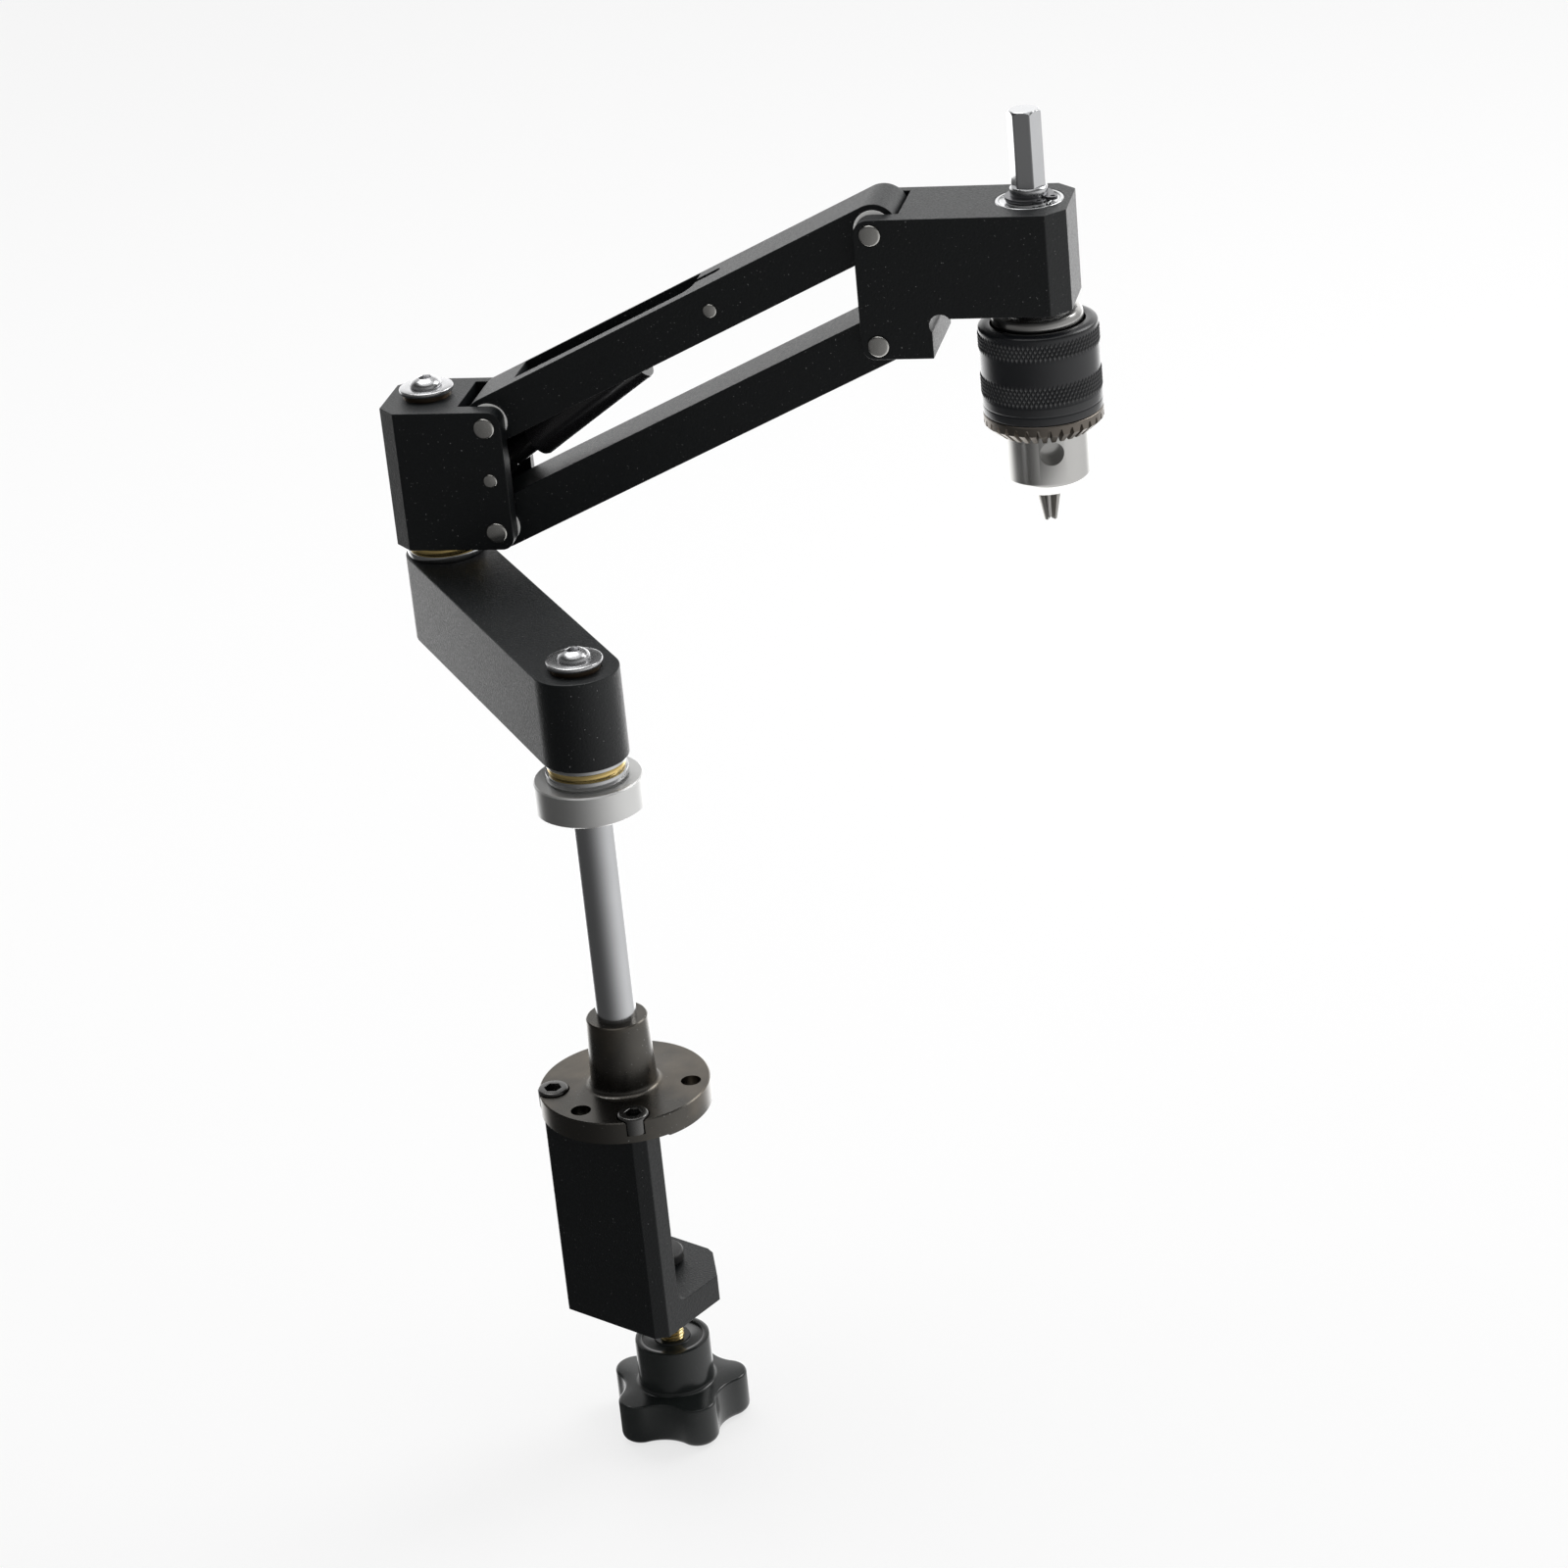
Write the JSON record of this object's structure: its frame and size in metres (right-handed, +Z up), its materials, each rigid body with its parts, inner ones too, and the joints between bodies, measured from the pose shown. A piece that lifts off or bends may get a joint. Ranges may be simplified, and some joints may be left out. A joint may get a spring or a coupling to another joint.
{
  "type": "bench-clamped tapping arm",
  "caption": "Bench-clamped tapping arm: a swing link and a strut-supported parallel arm carry an upright spindle with a hex drive above and a key chuck below.",
  "frame": {"origin": "underside of the base flange on the column axis, where the flange lies on the bench top", "axes": "+Z up along the column; +X the way the lower jaw of the clamp points, in over the bench"},
  "size_m": [0.1972, 0.2181, 0.4258],
  "materials": {
    "black_anodised": "black anodised over a fine blasted face",
    "dark_turned_steel": "turned and lightly blackened",
    "black_oxide": "black oxide, oiled",
    "ground_steel": "ground",
    "bright_aluminium": "fine turned",
    "bearing_steel": "polished",
    "brass": "stamped",
    "bronze": "sintered bronze",
    "bright_plate": "bright zinc plate",
    "pin_steel": "turned, domed ends",
    "white_nylon": "natural nylon",
    "strut_paint": "gloss black paint",
    "rod_chrome": "hard chrome",
    "spring_steel": "phosphated spring steel",
    "chuck_steel": "fine turned and polished",
    "jaw_steel": "hardened and ground",
    "knurled_black": "knurled, burnished black",
    "gear_steel": "milled teeth, grey-brown",
    "yellow_plate": "yellow zinc plate",
    "knob_plastic": "gloss moulded",
    "pad_plastic": "moulded"
  },
  "bodies": {
    "clamp": {"clamp_bracket": "black_anodised", "base_flange": "dark_turned_steel", "flange_screws": "black_oxide", "column": "ground_steel", "column_collar": "bright_aluminium", "column_race": "bearing_steel", "column_cage": "brass", "column_washer": "bright_plate", "column_bolt": "bright_plate"},
    "pad": {"pressure_pad": "pad_plastic"},
    "knob": {"clamp_screw": "yellow_plate", "star_knob": "knob_plastic"},
    "swing": {"swing_link": "black_anodised", "swing_race": "bearing_steel", "swing_bushes": "bronze", "elbow_pivot": "ground_steel", "elbow_race": "bearing_steel", "elbow_cage": "brass", "elbow_washer": "bright_plate", "elbow_bolt": "bright_plate"},
    "elbow": {"elbow_block": "black_anodised", "block_race": "bearing_steel", "elbow_bushes": "bronze", "rear_pins": "pin_steel", "rear_strut_pin": "pin_steel", "rear_spacers": "white_nylon"},
    "upper": {"upper_bar": "black_anodised", "upper_bushes": "bronze", "front_strut_pin": "pin_steel"},
    "lower": {"lower_bar": "black_anodised", "lower_bushes": "bronze"},
    "strut_body": {"strut_tube": "strut_paint"},
    "strut_end": {"strut_rod": "rod_chrome"},
    "head": {"head_block": "black_anodised", "head_pins": "pin_steel", "head_spacers": "white_nylon", "head_bearings": "bearing_steel"},
    "drive": {"spindle": "ground_steel", "retaining_ring": "spring_steel", "chuck_body": "chuck_steel"},
    "sleeve": {"chuck_sleeve": "knurled_black", "chuck_gear": "gear_steel"},
    "jaw_one": {"jaw_a": "jaw_steel"},
    "jaw_two": {"jaw_b": "jaw_steel"},
    "jaw_three": {"jaw_c": "jaw_steel"}
  },
  "joints": [
    {"name": "swing_turn", "type": "hinge", "parent": "clamp", "child": "swing", "pos_m": [0, 0, 0.14], "axis": [0, 0, 1], "continuous": true},
    {"name": "elbow_turn", "type": "hinge", "parent": "swing", "child": "elbow", "pos_m": [0.05744, 0.10536, 0.186], "axis": [0, 0, 1], "range_deg": [-5, 250]},
    {"name": "lift", "type": "hinge", "parent": "elbow", "child": "upper", "pos_m": [0.06804, 0.08438, 0.2045], "axis": [-0.8926, -0.4509, 0], "range_deg": [-55, 9]},
    {"name": "lower_lift", "type": "hinge", "parent": "elbow", "child": "lower", "pos_m": [0.06804, 0.08438, 0.168], "axis": [-0.8926, -0.4509, 0], "range_deg": [-55, 9]},
    {"name": "strut_tilt", "type": "hinge", "parent": "elbow", "child": "strut_body", "pos_m": [0.07027, 0.08551, 0.18625], "axis": [-0.8926, -0.4509, 0], "range_deg": [-55, 9]},
    {"name": "rod_tilt", "type": "hinge", "parent": "upper", "child": "strut_end", "pos_m": [0.10521, 0.01634, 0.24063], "axis": [-0.8926, -0.4509, 0], "range_deg": [-1, 3]},
    {"name": "head_level", "type": "hinge", "parent": "upper", "child": "head", "pos_m": [0.1279, -0.03413, 0.26641], "axis": [-0.8926, -0.4509, 0], "range_deg": [-9, 55]},
    {"name": "spindle_spin", "type": "hinge", "parent": "head", "child": "drive", "pos_m": [0.14966, -0.0772, 0.27141], "axis": [0, 0, 1], "continuous": true},
    {"name": "sleeve_turn", "type": "hinge", "parent": "drive", "child": "sleeve", "pos_m": [0.14966, -0.0772, 0.27141], "axis": [0, 0, -1], "range_deg": [0, 2772]},
    {"name": "knob_turn", "type": "hinge", "parent": "pad", "child": "knob", "pos_m": [0.0085, 0, -0.08], "axis": [0, 0, 1], "range_deg": [0, 5472]},
    {"name": "pad_slide", "type": "slide", "parent": "clamp", "child": "pad", "axis": [0, 0, 1], "range_m": [0, 0.0191]},
    {"name": "jaw_one_slide", "type": "slide", "parent": "drive", "child": "jaw_one", "axis": [0.0582, -0.2522, 0.9659], "range_m": [0, 0.0193]},
    {"name": "jaw_two_slide", "type": "slide", "parent": "drive", "child": "jaw_two", "axis": [0.1893, 0.1765, 0.9659], "range_m": [0, 0.0193]},
    {"name": "jaw_three_slide", "type": "slide", "parent": "drive", "child": "jaw_three", "axis": [-0.2475, 0.0757, 0.9659], "range_m": [0, 0.0193]}
  ],
  "couplings": [
    {"joint": "lower_lift", "follows": "lift", "ratio": 1},
    {"joint": "strut_tilt", "follows": "lift", "ratio": 0.95},
    {"joint": "rod_tilt", "follows": "lift", "ratio": -0.05},
    {"joint": "head_level", "follows": "lift", "ratio": -1},
    {"joint": "pad_slide", "follows": "knob_turn", "m_per_rad": 0.00019894},
    {"joint": "jaw_one_slide", "follows": "sleeve_turn", "m_per_rad": 0.00039789},
    {"joint": "jaw_two_slide", "follows": "sleeve_turn", "m_per_rad": 0.00039789},
    {"joint": "jaw_three_slide", "follows": "sleeve_turn", "m_per_rad": 0.00039789}
  ]
}
